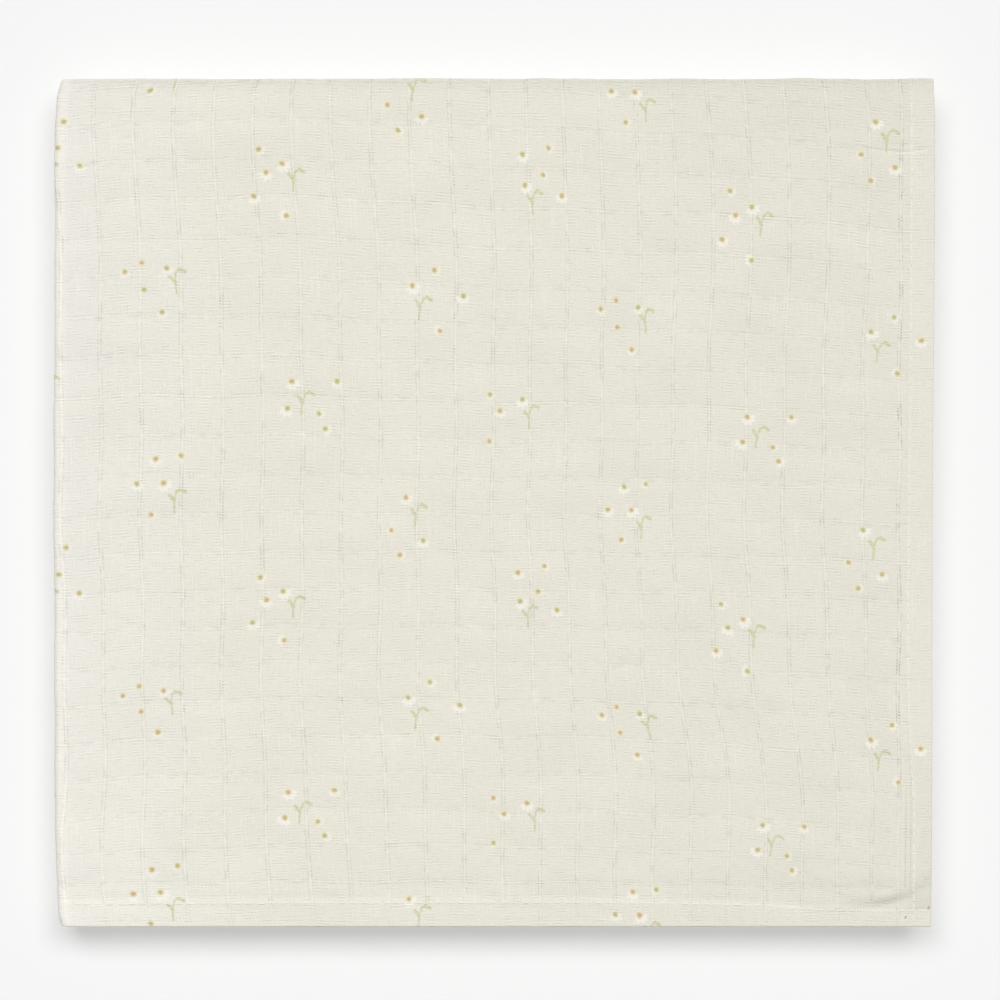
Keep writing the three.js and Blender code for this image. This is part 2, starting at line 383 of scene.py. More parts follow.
def relief(side, end, x, y, s, t, from_hem):
    """How far the printed face stands out of the plain sheet at threads (s, t)."""
    to_side = from_line(s, TACK["side"], TACK["pitch_side"])
    to_end = from_line(t, TACK["end"], TACK["pitch_end"])
    strong_side = 0.65 + 0.35 * ripple(21, s / 40, t / 26)
    strong_end = 0.45 + 0.4 * ripple(22, s / 26, t / 40)
    groove = np.maximum(
        GROOVE["side"] * strong_side * np.exp(-((to_side / TACK["half"]) ** 2)),
        GROOVE["end"] * strong_end * np.exp(-((to_end / TACK["half"]) ** 2)),
    )
    crown = np.cos(math.pi * to_side / TACK["pitch_side"] + math.pi / 2) ** 2
    crown = crown * np.cos(math.pi * to_end / TACK["pitch_end"] + math.pi / 2) ** 2
    puff = PUFF * np.sqrt(crown) * (0.75 + 0.5 * ripple(23, s / 31, t / 29))
    waves = sum(w["size"] * ripple(w["seed"], x / w["x"], y / w["y"]) for w in WAVES)
    inside = smooth(0, 6, from_hem)
    rise = HEM_RISE * (1 - smooth(0, HEM_STEP, from_hem))
    seam = np.exp(-(((from_hem + SEAM["inside"]) / SEAM["half"]) ** 2))
    seam = seam * (SEAM["rise"] + SEAM["uneven"] * ripple(26, x / SEAM["along"], y / SEAM["along"]))
    pucker = np.exp(-((from_hem / PUCKER["half"]) ** 2))
    pucker = pucker * PUCKER["size"] * ripple(27, x / PUCKER["along"], y / PUCKER["along"])
    height = (puff - groove) * inside + waves * (0.4 + 0.6 * inside)
    height = height + rise + seam + pucker
    from_top = END_REACH[1] - y
    roll = np.exp(-(((from_top - TOP_ROLL["at"]) / TOP_ROLL["half"]) ** 2))
    height = height + TOP_ROLL["rise"] * roll
    for row in CREASES:
        height = height + crease(row, x, y)
    on_side = np.where(side["panel"] == 0, 1 - smooth(0.45, 0.9, side["turn"]), 0)
    on_end = np.where(end["panel"] == 0, 1 - smooth(0.3, 0.8, end["turn"]), 0)
    return height * on_side * on_end


def cloth_points(side, end, printed):
    """Points of one face of the cloth, then how far they are along it and inside its hems, the
    places of its threads there and those of its print."""
    shift_x, shift_y, along, threads, drawn = threads_at(side, end)
    top_x, top_y = side["top"] + shift_x, end["top"] + shift_y
    from_side = threads[0] - np.interp(top_y, *SIDE_HEM)
    from_hem = np.minimum(from_side, threads[1] - np.interp(top_x, *END_HEM))
    to_side = np.minimum(side["arc"], side["far_end"])
    edge = np.minimum(to_side, np.minimum(end["arc"], end["far_end"]))
    round_off = np.sqrt(np.clip(1 - (1 - np.clip(edge / EDGE_ROUND, 0, 1)) ** 2, 0, 1))
    thin = EDGE_THIN + (1 - EDGE_THIN) * round_off
    offset = HALF_SHEET * thin
    if printed:
        offset = offset + relief(side, end, top_x, top_y, *threads, from_hem) * thin
    else:
        offset = -offset
    y = end["place"] + shift_y + offset * end["across"]
    h = end["level"] + offset * end["up"]
    x = side["place"] + shift_x + h * side["across"]
    z = side["level"] + h * side["up"] + STACK / 2
    return settle(x, y, z), (*along, from_hem), threads, drawn


# ---- The mesh of the cloth ----

HEM_CUTS = (0.1, 0.3, 0.6, 1.2, 2.4, 3.8, 5.2, 5.9, 6.5, 7.1, 7.7, 8.3, 8.9, 9.5, 10.2, 11.0)
CREASE_CUTS = (11.8, 12.6, 13.4, 14.2, 17.2, 18.2, *np.arange(273.5, 282.5, 0.5))
LOWER_CUTS = (0.05, 0.12, 0.22, 0.36, 0.5, 0.64, 0.78, 0.88, 0.95)  # shares of a lower panel
CUTS_BETWEEN = 3  # between two tacking lines
CUT_MARGIN = 0.2
TOP_RUN = {"side": 296.5, "end": 289.5}  # where the top panel's own cuts stop
SIDE_STEPS = (11, 9, 9)  # steps of each fold
END_STEPS = (7, 5, 5)

SIDES = folded_strip(
    SIDE_REACH, BUNDLE, HALF_BUNDLE, FOLD_SHAPE["side"],
    top_cuts(HEM_CUTS, TACK["side"], TACK["pitch_side"], TOP_RUN["side"]), SIDE_STEPS,
)
ENDS = folded_strip(
    END_REACH, PITCH, HALF_SHEET, FOLD_SHAPE["end"],
    top_cuts((*HEM_CUTS, *CREASE_CUTS), TACK["end"], TACK["pitch_end"], TOP_RUN["end"]), END_STEPS,
)


def motif_frames(centre_x, centre_y):
    """For each place, the nearest motif's cluster and how far its repeat is shifted."""
    rows = [(n, d[0], d[1]) for n, c in enumerate(CLUSTERS) for d in [*c["daisies"], c["sprig"]]]
    up, across = np.array(REPEAT_UP), np.array(REPEAT_ACROSS)
    to_steps = np.linalg.inv(np.stack([up, across], axis=1))
    best = np.full(centre_x.shape, np.inf)
    cluster = np.zeros(centre_x.shape, int)
    shift = np.zeros((*centre_x.shape, 2))
    for number, x, y in rows:
        gap = np.stack([centre_x - x, centre_y - y], axis=-1)
        steps = np.floor(gap @ to_steps.T)
        for more in ((0, 0), (0, 1), (1, 0), (1, 1)):
            moved = (steps + more) @ np.stack([up, across])
            away = np.linalg.norm(gap - moved, axis=-1)
            nearer = away < best
            best = np.where(nearer, away, best)
            cluster = np.where(nearer, number, cluster)
            shift = np.where(nearer[..., None], moved, shift)
    return cluster, shift


def motif_coordinates(px, py, cluster, shift, printed):
    """Each corner's place in its cluster's motifs: turned so that the petals fan towards +X, in
    millimetres, with the petals' length as third value."""
    table = np.full((len(CLUSTERS), DAISIES + 1, 4), FAR_AWAY)
    for number, row in enumerate(CLUSTERS):
        for k, daisy in enumerate(row["daisies"]):
            table[number, k] = daisy
        table[number, DAISIES] = (*row["sprig"], 1.0)
    frames = []
    for k in range(DAISIES + 1):
        x, y, facing, size = (table[cluster, k, n] for n in range(4))
        dx = px - x - shift[..., 0]
        dy = py - y - shift[..., 1]
        angle = np.radians(facing)
        turned = np.stack([
            dx * np.cos(angle) + dy * np.sin(angle),
            dy * np.cos(angle) - dx * np.sin(angle),
            np.broadcast_to(size, dx.shape),
        ], axis=-1)
        shown = printed & (x < FAR_AWAY)
        turned[~shown] = (FAR_AWAY, FAR_AWAY, 1.0)
        frames.append(turned)
    return frames


# The baked map, from 0 to 1 upwards: where each face's part starts and how large it is, then
# where the four strips along the edges start and how wide each is.
PRINTED_MAP = (0.0, 0.93)
PLAIN_MAP = (0.94, 0.045)
RIMS = (0.988, 0.991, 0.994, 0.997)
RIM_WIDTH = 0.002
FOLD_SHARE = 0.7  # of its real size that a fold has on the map, where the top panel has 1


def bake_lines(strip, shares):
    """Places of the stations on the baked map: most of it goes to the top panel."""
    steps = np.diff(strip["arc"])
    panel = strip["panel"][:-1].astype(int)
    in_fold = (strip["turn"][:-1] > 0) | (strip["turn"][1:] > 0)
    share = np.where(in_fold, FOLD_SHARE, np.array(shares)[panel])
    places = np.concatenate([[0], np.cumsum(steps * share)])
    return places / places[-1]


def cloth_mesh():
    """The closed skin of the cloth: printed face, plain face and the strip along its edges."""
    side = {name: values[:, None] for name, values in SIDES.items()}
    end = {name: values[None, :] for name, values in ENDS.items()}
    faces = [cloth_points(side, end, printed) for printed in (True, False)]
    points = np.concatenate([face[0].reshape(-1, 3) for face in faces])
    along, threads, drawn = (
        np.concatenate([np.stack([a.ravel() for a in face[kind]], axis=1) for face in faces])
        for kind in (1, 2, 3)
    )
    count_s, count_e = len(SIDES["arc"]), len(ENDS["arc"])
    front = np.arange(count_s * count_e).reshape(count_s, count_e)
    back = front + count_s * count_e

    u = bake_lines(SIDES, (1.0, 0.02, 0.02, 0.14))
    v = bake_lines(ENDS, (1.0, 0.02, 0.02, 0.09))
    grid_u, grid_v = np.broadcast_arrays(u[:, None], v[None, :])
    corner_map = np.concatenate([
        np.stack([grid_u, low + grid_v * size], axis=-1).reshape(-1, 2)
        for low, size in (PRINTED_MAP, PLAIN_MAP)
    ])

    quads, maps = [], []
    flip = (SIDES["panel"][:-1, None] + ENDS["panel"][None, :-1]) % 2 == 1
    for grid, order in ((front, (0, 1, 2, 3)), (back, (0, 3, 2, 1))):
        around = [grid[:-1, :-1], grid[:-1, 1:], grid[1:, 1:], grid[1:, :-1]]
        quad = np.stack([around[n] for n in order], axis=-1)
        quad = np.where(flip[..., None], np.roll(quad, -1, axis=-1), quad).reshape(-1, 4)
        quads.append(quad)
        maps.append(corner_map[quad])
    rims = (
        (back[:-1, 0], front[:-1, 0], front[1:, 0], back[1:, 0], u, RIMS[0]),
        (front[:-1, -1], back[:-1, -1], back[1:, -1], front[1:, -1], u, RIMS[1]),
        (front[0, :-1], back[0, :-1], back[0, 1:], front[0, 1:], v, RIMS[2]),
        (back[-1, :-1], front[-1, :-1], front[-1, 1:], back[-1, 1:], v, RIMS[3]),
    )
    for a, b, c, d, shares, base in rims:
        quads.append(np.stack([a, b, c, d], axis=1))
        low, high = shares[:-1], shares[1:]
        near, far = np.full_like(low, base), np.full_like(low, base + RIM_WIDTH)
        corners = ((low, near), (low, far), (high, far), (high, near))
        maps.append(np.stack([np.stack(corner, axis=1) for corner in corners], axis=1))
    quads, maps = np.concatenate(quads), np.concatenate(maps)
    return points, along, threads, drawn, quads, maps


def put_in_scene(name, data):
    made = bpy.data.objects.new(name, data)
    bpy.context.scene.collection.objects.link(made)
    return made


def mesh_from(name, points, triangles):
    """A smooth mesh of triangles, from points in millimetres."""
    mesh = bpy.data.meshes.new(name)
    mesh.from_pydata((points * MM).tolist(), [], triangles.tolist())
    mesh.validate()
    mesh.shade_smooth()
    return put_in_scene(name, mesh)


def put_attribute(mesh, name, domain, values):
    mesh.attributes.new(name, "FLOAT_VECTOR", domain)
    mesh.attributes[name].data.foreach_set("vector", values.astype(np.float32).ravel())


def make_cloth():
    points, along, threads, drawn, quads, maps = cloth_mesh()
    low, high = points.min(axis=0), points.max(axis=0)
    box_low, box_high = (np.array(corner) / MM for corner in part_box("blanket"))
    move = (box_low + box_high) / 2 - (low + high) / 2
    move[2] = -low[2]
    points = points + move

    triangle = np.array([0, 1, 2, 0, 2, 3])
    triangles = quads[:, triangle].reshape(-1, 3)
    piece = mesh_from("muslin_cloth", points, triangles)
    mesh = piece.data
    uv = mesh.uv_layers.new(name="OFBake")
    uv.uv.foreach_set("vector", maps[:, triangle].astype(np.float32).ravel())
    put_attribute(mesh, "along", "POINT", along)
    put_attribute(mesh, "cloth", "POINT", np.pad(threads, ((0, 0), (0, 1))))

    px, py = SIDE_REACH[0] - drawn[:, 0], drawn[:, 1] + END_REACH[0]
    qx, qy = px[quads], py[quads]
    cluster, shift = motif_frames(qx.mean(axis=1), qy.mean(axis=1))
    printed = quads.max(axis=1) < len(points) // 2
    frames = motif_coordinates(
        qx, qy, cluster[:, None], shift[:, None, :], np.broadcast_to(printed[:, None], qx.shape)
    )
    for k, values in enumerate(frames):
        name = "sprig" if k == DAISIES else f"daisy_{k + 1}"
        put_attribute(mesh, name, "CORNER", values[:, triangle].reshape(-1, 3))
    return piece, move


# ---- Sewing ----

# The rows of stitches start at first and end at side, on the side hem, and at end on the end hem.
# They lie inside the hem's width, and drift about.
STITCH = {
    "length": 3.75, "pitch": 3.7, "half_width": 0.33, "sunk": 0.035, "inside": 0.4, "drift": 0.07,
    "first": 1.2, "side": 289.0, "end": 298.0,
}
# Loose ends of the sewing thread by the corner: from one place to another, as distances from the
# side hem and from the end hem.
THREAD_ENDS = [
    {"from": (0.6, 7.3), "to": (1.3, 5.9)},
    {"from": (8.5, 3.9), "to": (8.95, 2.7)},
]


def on_top(reach, distance):
    """Stations of the top panel at any distances from its hem."""
    way = math.copysign(1, reach[1] - reach[0])
    distance = np.asarray(distance, float)
    flat = np.zeros_like(distance)
    return {
        "place": reach[0] + way * distance, "top": reach[0] + way * distance, "across": flat,
        "up": flat + 1, "panel": flat, "turn": flat, "turned": flat, "arc": distance,
        "far_end": flat + 1000,
    }


def top_surface(s, t):
    """Points on the top face, at distances from the side hem and from the end hem."""
    side, end = on_top(SIDE_REACH, s), on_top(END_REACH, t)
    side["level"] = np.full_like(side["place"], (FOLDS - 1) / 2 * BUNDLE)
    end["level"] = np.full_like(end["place"], (FOLDS - 1) / 2 * PITCH)
    return cloth_points(side, end, True)[0]


def stitch_rows():
    """Both ends of every stitch, as distances from the side hem and the end hem."""
    rng = np.random.default_rng(31)
    rows = []
    for hem in ("side", "end"):
        place = STITCH["first"]
        while place < STITCH[hem] - STITCH["length"]:
            pair = np.array([place, place + STITCH["length"] * rng.uniform(0.85, 1.05)])
            inside = rng.normal(0, STITCH["drift"], 2) - STITCH["inside"]
            if hem == "side":
                rows.append((np.interp(pair + END_REACH[0], *SIDE_HEM) + inside, pair))
            else:
                rows.append((pair, np.interp(SIDE_REACH[0] - pair, *END_HEM) + inside))
            place += STITCH["pitch"]
    return rows


def make_threads(name, rows, move):
    """Short plump threads on the top face, each end dipping into the cloth."""
    sections, around = 6, 8
    points, triangles = [], []
    share = np.linspace(0, 1, sections)
    for row in rows:
        s, t = (low + (high - low) * share for low, high in row)
        middle = top_surface(s, t)
        arch = np.sin(math.pi * share)
        middle[:, 2] -= STITCH["sunk"] + 0.2 * STITCH["half_width"] * (1 - arch) ** 2
        run = middle[-1] - middle[0]
        run[2] = 0
        run /= np.linalg.norm(run)
        across = np.array([-run[1], run[0], 0.0])
        width = STITCH["half_width"] * (0.6 + 0.4 * np.sqrt(arch))
        first = len(points)
        for centre, half in zip(middle, width):
            for k in range(around):
                angle = 2 * math.pi * k / around
                lift = np.array([0, 0, 0.3 * half * math.sin(angle)])
                points.append(centre + across * half * math.cos(angle) + lift)
        for n in range(sections - 1):
            for k in range(around):
                a = first + n * around + k
                b = first + n * around + (k + 1) % around
                triangles += [(a, a + around, b), (b, a + around, b + around)]
        for k in range(1, around - 1):
            triangles.append((first, first + k, first + k + 1))
            last = first + (sections - 1) * around
            triangles.append((last, last + k + 1, last + k))
    return mesh_from(name, np.array(points) + move, np.array(triangles))


# ---- Materials ----


def srgb(red, green, blue):
    """A colour of 0 to 255 steps as the linear value that a shader takes."""
    steps = np.array([red, green, blue]) / 255
    linear = np.where(steps <= 0.04045, steps / 12.92, ((steps + 0.055) / 1.055) ** 2.4)
    return (*linear.tolist(), 1.0)


class Tree:
    """Short calls that add nodes to a node tree. Each returns the new node's output."""

    def __init__(self, tree):
        self.tree = tree

    def node(self, kind, inputs=None, **settings):
        made = self.tree.nodes.new(kind)
        for name, value in settings.items():
            setattr(made, name, value)
        for key, value in (inputs or {}).items():
            if isinstance(value, bpy.types.NodeSocket):
                self.link(value, made.inputs[key])
            else:
                made.inputs[key].default_value = value
        return made

    def math(self, operation, *values):
        return self.node("ShaderNodeMath", dict(enumerate(values)), operation=operation).outputs[0]

    def chain(self, operation, values):
        total = values[0]
        for value in values[1:]:
            total = self.math(operation, total, value)
        return total

    def add(self, *values):
        return self.chain("ADD", values)

    def times(self, *values):
        return self.chain("MULTIPLY", values)

    def vector(self, operation, *values, output=0):
        made = self.node("ShaderNodeVectorMath", dict(enumerate(values)), operation=operation)
        return made.outputs[output]

    def step(self, value, low, high, to_low=0.0, to_high=1.0):
        """A smooth step from to_low, where value is low, to to_high, where it is high."""
        inputs = {0: value, 1: low, 2: high, 3: to_low, 4: to_high}
        return self.node("ShaderNodeMapRange", inputs, interpolation_type="SMOOTHSTEP").outputs[0]

    def noise(self, place, stretch, detail=2.0, roughness=0.5, output="Fac"):
        """Noise whose cells are about stretch wide, in the units of place."""
        scaled = self.vector("DIVIDE", place, stretch)
        inputs = {"Vector": scaled, "Scale": 1.0, "Detail": detail, "Roughness": roughness}
        return self.node("ShaderNodeTexNoise", inputs).outputs[output]

    def mix(self, share, first, second):
        """A colour between two."""
        inputs = {0: share, 6: first, 7: second}
        return self.node("ShaderNodeMix", inputs, data_type="RGBA").outputs[2]

    def split(self, place):
        return self.node("ShaderNodeSeparateXYZ", {0: place}).outputs

    def attribute(self, name):
        return self.node("ShaderNodeAttribute", attribute_name=name).outputs["Vector"]

    def scaled(self, vector, size):
        """A vector times a number that other nodes work out."""
        made = self.node("ShaderNodeVectorMath", {0: vector}, operation="SCALE")
        self.link(size, made.inputs["Scale"])
        return made.outputs[0]

    def motif(self, group, name, wobble):
        """All outputs of a motif's group, drawn at the places that an attribute holds."""
        inputs = {0: self.attribute(name), 1: wobble}
        return list(self.node("ShaderNodeGroup", inputs, node_tree=group).outputs)

    def weighted(self, parts, sizes):
        return self.add(*(self.times(parts[name], size) for name, size in sizes.items()))

    def wave(self, value, length):
        return self.math("SINE", self.times(value, 2 * math.pi / length))

    def link(self, value, socket):
        self.tree.links.new(value, socket)


def new_material(name, values):
    """A material, its Tree and its shader with these values set."""
    material = bpy.data.materials.new(name)
    material.use_nodes = True
    shader = material.node_tree.nodes["Principled BSDF"]
    for key, value in values.items():
        shader.inputs[key].default_value = value
    return material, Tree(material.node_tree), shader


def finish(tree, shader, colour, height, strength, depth):
    """Gives a shader its colour and its bump."""
    bump = tree.node("ShaderNodeBump", {"Height": height, "Strength": strength, "Distance": depth})
    tree.link(bump.outputs[0], shader.inputs["Normal"])
    tree.link(colour, shader.inputs["Base Color"])


def motif_group(name, outputs):
    """A shader group for a motif. Returns it, its Tree and where on the motif a point is drawn:
    its place, moved by an uneven amount."""
    group = bpy.data.node_groups.new(name, "ShaderNodeTree")
    for wanted in ("Place", "Wobble"):
        group.interface.new_socket(wanted, in_out="INPUT", socket_type="NodeSocketVector")
    for output in outputs:
        group.interface.new_socket(output, in_out="OUTPUT", socket_type="NodeSocketFloat")
    tree = Tree(group)
    place, wobble = tree.node("NodeGroupInput").outputs[:2]
    return group, tree, place, tree.vector("MULTIPLY_ADD", place, (1, 1, 0), wobble)


DAISY = {"dot": 0.66, "lobe": 36, "soft": 0.55, "fan": (55, 115), "behind": 0.22, "grow": 1.08}


def daisy_group():
    """One printed daisy: an ochre eye with petals fanned out to one side of it. The eye's dye
    has bled a little, which makes a pale halo."""
    group, tree, place, drawn = motif_group("daisy", ("Petals", "Eye", "Halo"))
    length = tree.split(place)[2]
    px, py, _ = tree.split(drawn)
    away = tree.vector("LENGTH", drawn, output=1)
    angle = tree.math("ARCTAN2", py, px)
    lobes = tree.math("COSINE", tree.times(angle, 360 / DAISY["lobe"]))
    narrow, wide = (math.radians(a) for a in DAISY["fan"])
    fan = tree.step(tree.math("ABSOLUTE", angle), narrow, wide, 1, DAISY["behind"])
    reach = tree.times(fan, length, tree.math("MULTIPLY_ADD", lobes, 0.13, 0.87), DAISY["grow"])
    inside = tree.math("SUBTRACT", reach, away)
    petals = tree.step(inside, -DAISY["soft"], DAISY["soft"])
    size = tree.math("MULTIPLY_ADD", length, 0.05, DAISY["dot"])
    eye = tree.step(tree.math("SUBTRACT", size, away), -0.5, 0.5)
    halo = tree.step(away, 2, 0.7)
    tree.node("NodeGroupOutput", {0: petals, 1: eye, 2: halo})
    return group


SPRIG_STROKES = [
    {"from": (0, 0), "to": (-0.3, -4.4), "half": 0.34},
    {"from": (0, -0.6), "to": (-1.5, 1.5), "half": 0.56},
    {"from": (0, 0), "to": (0.9, 2.5), "half": 0.3},
    {"from": (0.9, 2.5), "to": (2.3, 3.2), "half": 0.42},
    {"from": (2, 3.2), "to": (3.6, 2.3), "half": 0.58},
]


def sprig_group():
    """The leaf sprig: a stem, a leaf on its left and a longer one that bends over to the right."""
    group, tree, _, drawn = motif_group("sprig", ("Leaves",))
    total = 0.0
    for stroke in SPRIG_STROKES:
        start = (*stroke["from"], 0)
        run = tuple(b - a for a, b in zip(start, (*stroke["to"], 0)))
        square = sum(r * r for r in run)
        gap = tree.vector("SUBTRACT", drawn, start)
        share = tree.times(tree.vector("DOT_PRODUCT", gap, run, output=1), 1 / square)
        share = tree.math("MINIMUM", tree.math("MAXIMUM", share, 0), 1)
        on_line = tree.scaled(run, share)
        away = tree.vector("LENGTH", tree.vector("SUBTRACT", gap, on_line), output=1)
        drawn_here = tree.step(away, stroke["half"] + 0.16, stroke["half"] - 0.16)
        total = tree.math("MAXIMUM", total, drawn_here)
    tree.node("NodeGroupOutput", {0: total})
    return group


WEAVE = {"weft": 1.02, "warp": 1.1, "fine": 0.51, "tack": 1.05}
SHADES = {
    "cloth": srgb(235, 232, 219),
    # the cloth painted whiter towards the left fold, as painted light
    "cloth_painted_lit_left": srgb(238, 235, 226),
    "petal": srgb(249, 247, 239),
    "leaf": srgb(202, 203, 150),
    "halo": srgb(240, 231, 190),
    "eye": srgb(206, 181, 138),
    "eye_green": srgb(194, 188, 138),
    "thread": srgb(240, 237, 225),
    "thread_end": srgb(148, 139, 124),
}
# How much each part of the weave lightens the cloth, and how high it stands, in millimetres.
WEAVE_TINTS = {
    "weft": 0.06, "warp": 0.036, "slub_weft": 0.13, "slub_warp": 0.12, "grain": 0.13,
    "cloud": 0.04, "long_weft": 0.042, "long_warp": 0.042,
}
WEAVE_HEIGHTS = {
    "weft": 0.035, "warp": 0.025, "fine": 0.012, "slub_weft": 0.09, "slub_warp": 0.1, "grain": 0.07,
}


def weave_parts(tree, s, t, threads):
    """The gauze's threads, slubs and grain, each within about -1 to 1."""
    weft_patch = tree.step(tree.noise(threads, (3.8, 3, 3)), 0.5, 0.62)
    warp_patch = tree.step(tree.noise(threads, (3, 4.2, 7)), 0.54, 0.68)
    noises = {
        "slub_weft": tree.noise(threads, (3.6, 0.42, 1), roughness=0.6),
        "slub_warp": tree.noise(threads, (0.42, 3.6, 2), roughness=0.6),
        "grain": tree.noise(threads, (0.5, 0.45, 1), detail=1),
        "cloud": tree.noise(threads, (34, 30, 9), detail=1),
    }
    return {
        "weft": tree.times(tree.wave(t, WEAVE["weft"]), weft_patch),
        "warp": tree.times(tree.wave(s, WEAVE["warp"]), warp_patch),
        "fine": tree.times(tree.wave(t, WEAVE["fine"]), tree.wave(s, WEAVE["fine"])),
        "long_weft": tree.step(tree.noise(threads, (22, 0.5, 4), detail=0), 0.68, 0.82),
        "long_warp": tree.step(tree.noise(threads, (0.5, 26, 6), detail=0), 0.66, 0.8),
        **{name: tree.math("SUBTRACT", value, 0.5) for name, value in noises.items()},
    }


TACK_DOTS = {"apart": 0.5, "half": 0.42, "thread": 0.34, "hem": (18, 13), "at_hem": 1.7}
TACK_TINTS = {"end_gaps": -0.1, "side_thread": 0.075, "end_thread": 0.055}
SIDE_GAPS_TINT = -0.15


def tack_lines(tree, along, other, first, pitch, seed):
    """One set of tacking lines: a row of gaps between the threads on each side of the plain
    thread that binds the two gauzes. Returns the gaps and the thread, each 0 to 1 or so."""
    place = tree.node("ShaderNodeCombineXYZ", {0: along, 1: other, 2: seed}).outputs[0]
    run = tree.noise(place, (pitch * 0.2, 5, 1), roughness=0.65)
    broken = tree.step(run, 0.4, 0.7, 0.12, 1.7)
    start = first - 40 * pitch
    gaps = 0.0
    for side in (-1, 1):
        line = start + side * TACK_DOTS["apart"]
        away = tree.math("PINGPONG", tree.math("SUBTRACT", along, line), pitch / 2)
        strip = tree.step(away, TACK_DOTS["half"], 0.05)
        beat = tree.wave(tree.math("ADD", other, 0.3 * side), WEAVE["tack"])
        gaps = tree.add(gaps, tree.times(strip, tree.step(beat, -0.5, 0.7, 0.3)))
    gaps = tree.times(gaps, broken, tree.step(along, *TACK_DOTS["hem"], 1, TACK_DOTS["at_hem"]))
    middle = tree.math("PINGPONG", tree.math("SUBTRACT", along, start), pitch / 2)
    whole = tree.step(run, 0.66, 0.42)
    thread = tree.times(tree.step(middle, TACK_DOTS["thread"], 0.06), whole)
    return gaps, thread


HOLES = {"middle": 8.2, "apart": 0.85, "half": 0.42, "tint": -0.2, "tacks": 0.1}


def corner_holes(tree, s, t):
    """Two rows of holes along the side hem by the corner. Returns them and where they are."""
    near = tree.times(tree.step(t, 66, 28), tree.step(t, 12, 14.5), tree.step(s, 14.5, 13))
    across = tree.math("ABSOLUTE", tree.math("SUBTRACT", s, HOLES["middle"]))
    away = tree.math("ABSOLUTE", tree.math("SUBTRACT", across, HOLES["apart"]))
    beat = tree.wave(t, WEAVE["tack"])
    holes = tree.times(tree.step(away, HOLES["half"], 0.05), tree.step(beat, -0.5, 0.7, 0.3))
    outer = tree.step(s, HOLES["middle"] - 0.2, HOLES["middle"] + 0.2, 0.5, 1.1)
    return tree.times(holes, near, outer), near


def sewn_tints(tree, s, t, side, end, from_hem):
    """The tacking lines, fainter on the hems, and two rows of holes by the corner."""
    gaps_s, light_s = tack_lines(tree, s, t, TACK["side"], TACK["pitch_side"], 3)
    gaps_t, light_t = tack_lines(tree, t, s, TACK["end"], TACK["pitch_end"], 8)
    holes, by_holes = corner_holes(tree, side, end)
    side_gaps = tree.math("MULTIPLY_ADD", by_holes, HOLES["tacks"], SIDE_GAPS_TINT)
    parts = {"end_gaps": gaps_t, "side_thread": light_s, "end_thread": light_t}
    tacking = tree.add(tree.times(gaps_s, side_gaps), tree.weighted(parts, TACK_TINTS))
    tacking = tree.times(tacking, tree.step(from_hem, -0.8, 0.4, 0.4, 1))
    return tree.add(tacking, tree.times(holes, HOLES["tint"]))


SIDE_RUN = 300.3  # from the side hem to the middle of the left fold, and so on back and forth
# Painted light and shade on the cloth, and a lighter hem. Each tint grows in from the first to the
# second of each pair of distances: from the side hem, from the end hem, towards a left fold, from
# within the hem and from its seam. The pair end_limit is one more for the end hem.
PAINTED_LIGHT_AND_HEM_TINTS = [
    # painted shade: the side hem darker towards the hemmed corner
    {"tint": -0.04, "end": (95, 25), "side": (9, 6.5), "end_limit": (5.6, 6.4)},
    # painted shade: darker between the corner's crease and the seam
    {"tint": -0.06, "end": (12, 9), "side": (36, 20), "end_limit": (5.6, 6.4)},
    {"tint": 0.018, "hem": (0.5, -0.5)},
    # painted highlight along the seam's ridge
    {"tint": 0.015, "seam": (0.9, 0.1)},
    # painted light: the left fold lighter, most of all at its edge
    {"tint": 0.015, "left": (286, 303)},
    {"tint": 0.07, "left": (297, 300.5)},
    # painted light: lighter towards the lower left
    {"tint": 0.025, "left": (200, 290), "end": (60, 10)},
    # painted shade at the top right
    {"tint": -0.015, "end": (235, 275), "side": (120, 75)},
    # painted shade along the folded top edge, darkest at the edge
    {"tint": -0.03, "end": (285, 289), "end_limit": (292.5, 291.5)},
    {"tint": -0.11, "end": (288.6, 290), "end_limit": (292.5, 291.5)},
    # painted light and shade: lighter from the side hem leftwards, darkest at the side hem
    {"tint": 0.033, "side": (0, 220)},
]
# painted shade: the cloth's shade is painted darker at the side hem
PAINTED_SHADE_AT_SIDE_HEM = 0.962  # the shade at the side hem, before any tint


def painted_light_and_hem_tints(tree, side, end, left, from_hem):
    places = {
        "side": side, "end": end, "end_limit": end, "left": left, "hem": from_hem,
        "seam": tree.math("ABSOLUTE", tree.math("ADD", from_hem, SEAM["inside"])),
    }
    tints = []
    for row in PAINTED_LIGHT_AND_HEM_TINTS:
        steps = [tree.step(place, *row[name]) for name, place in places.items() if name in row]
        tints.append(tree.times(*steps, row["tint"]))
    return tree.add(*tints)


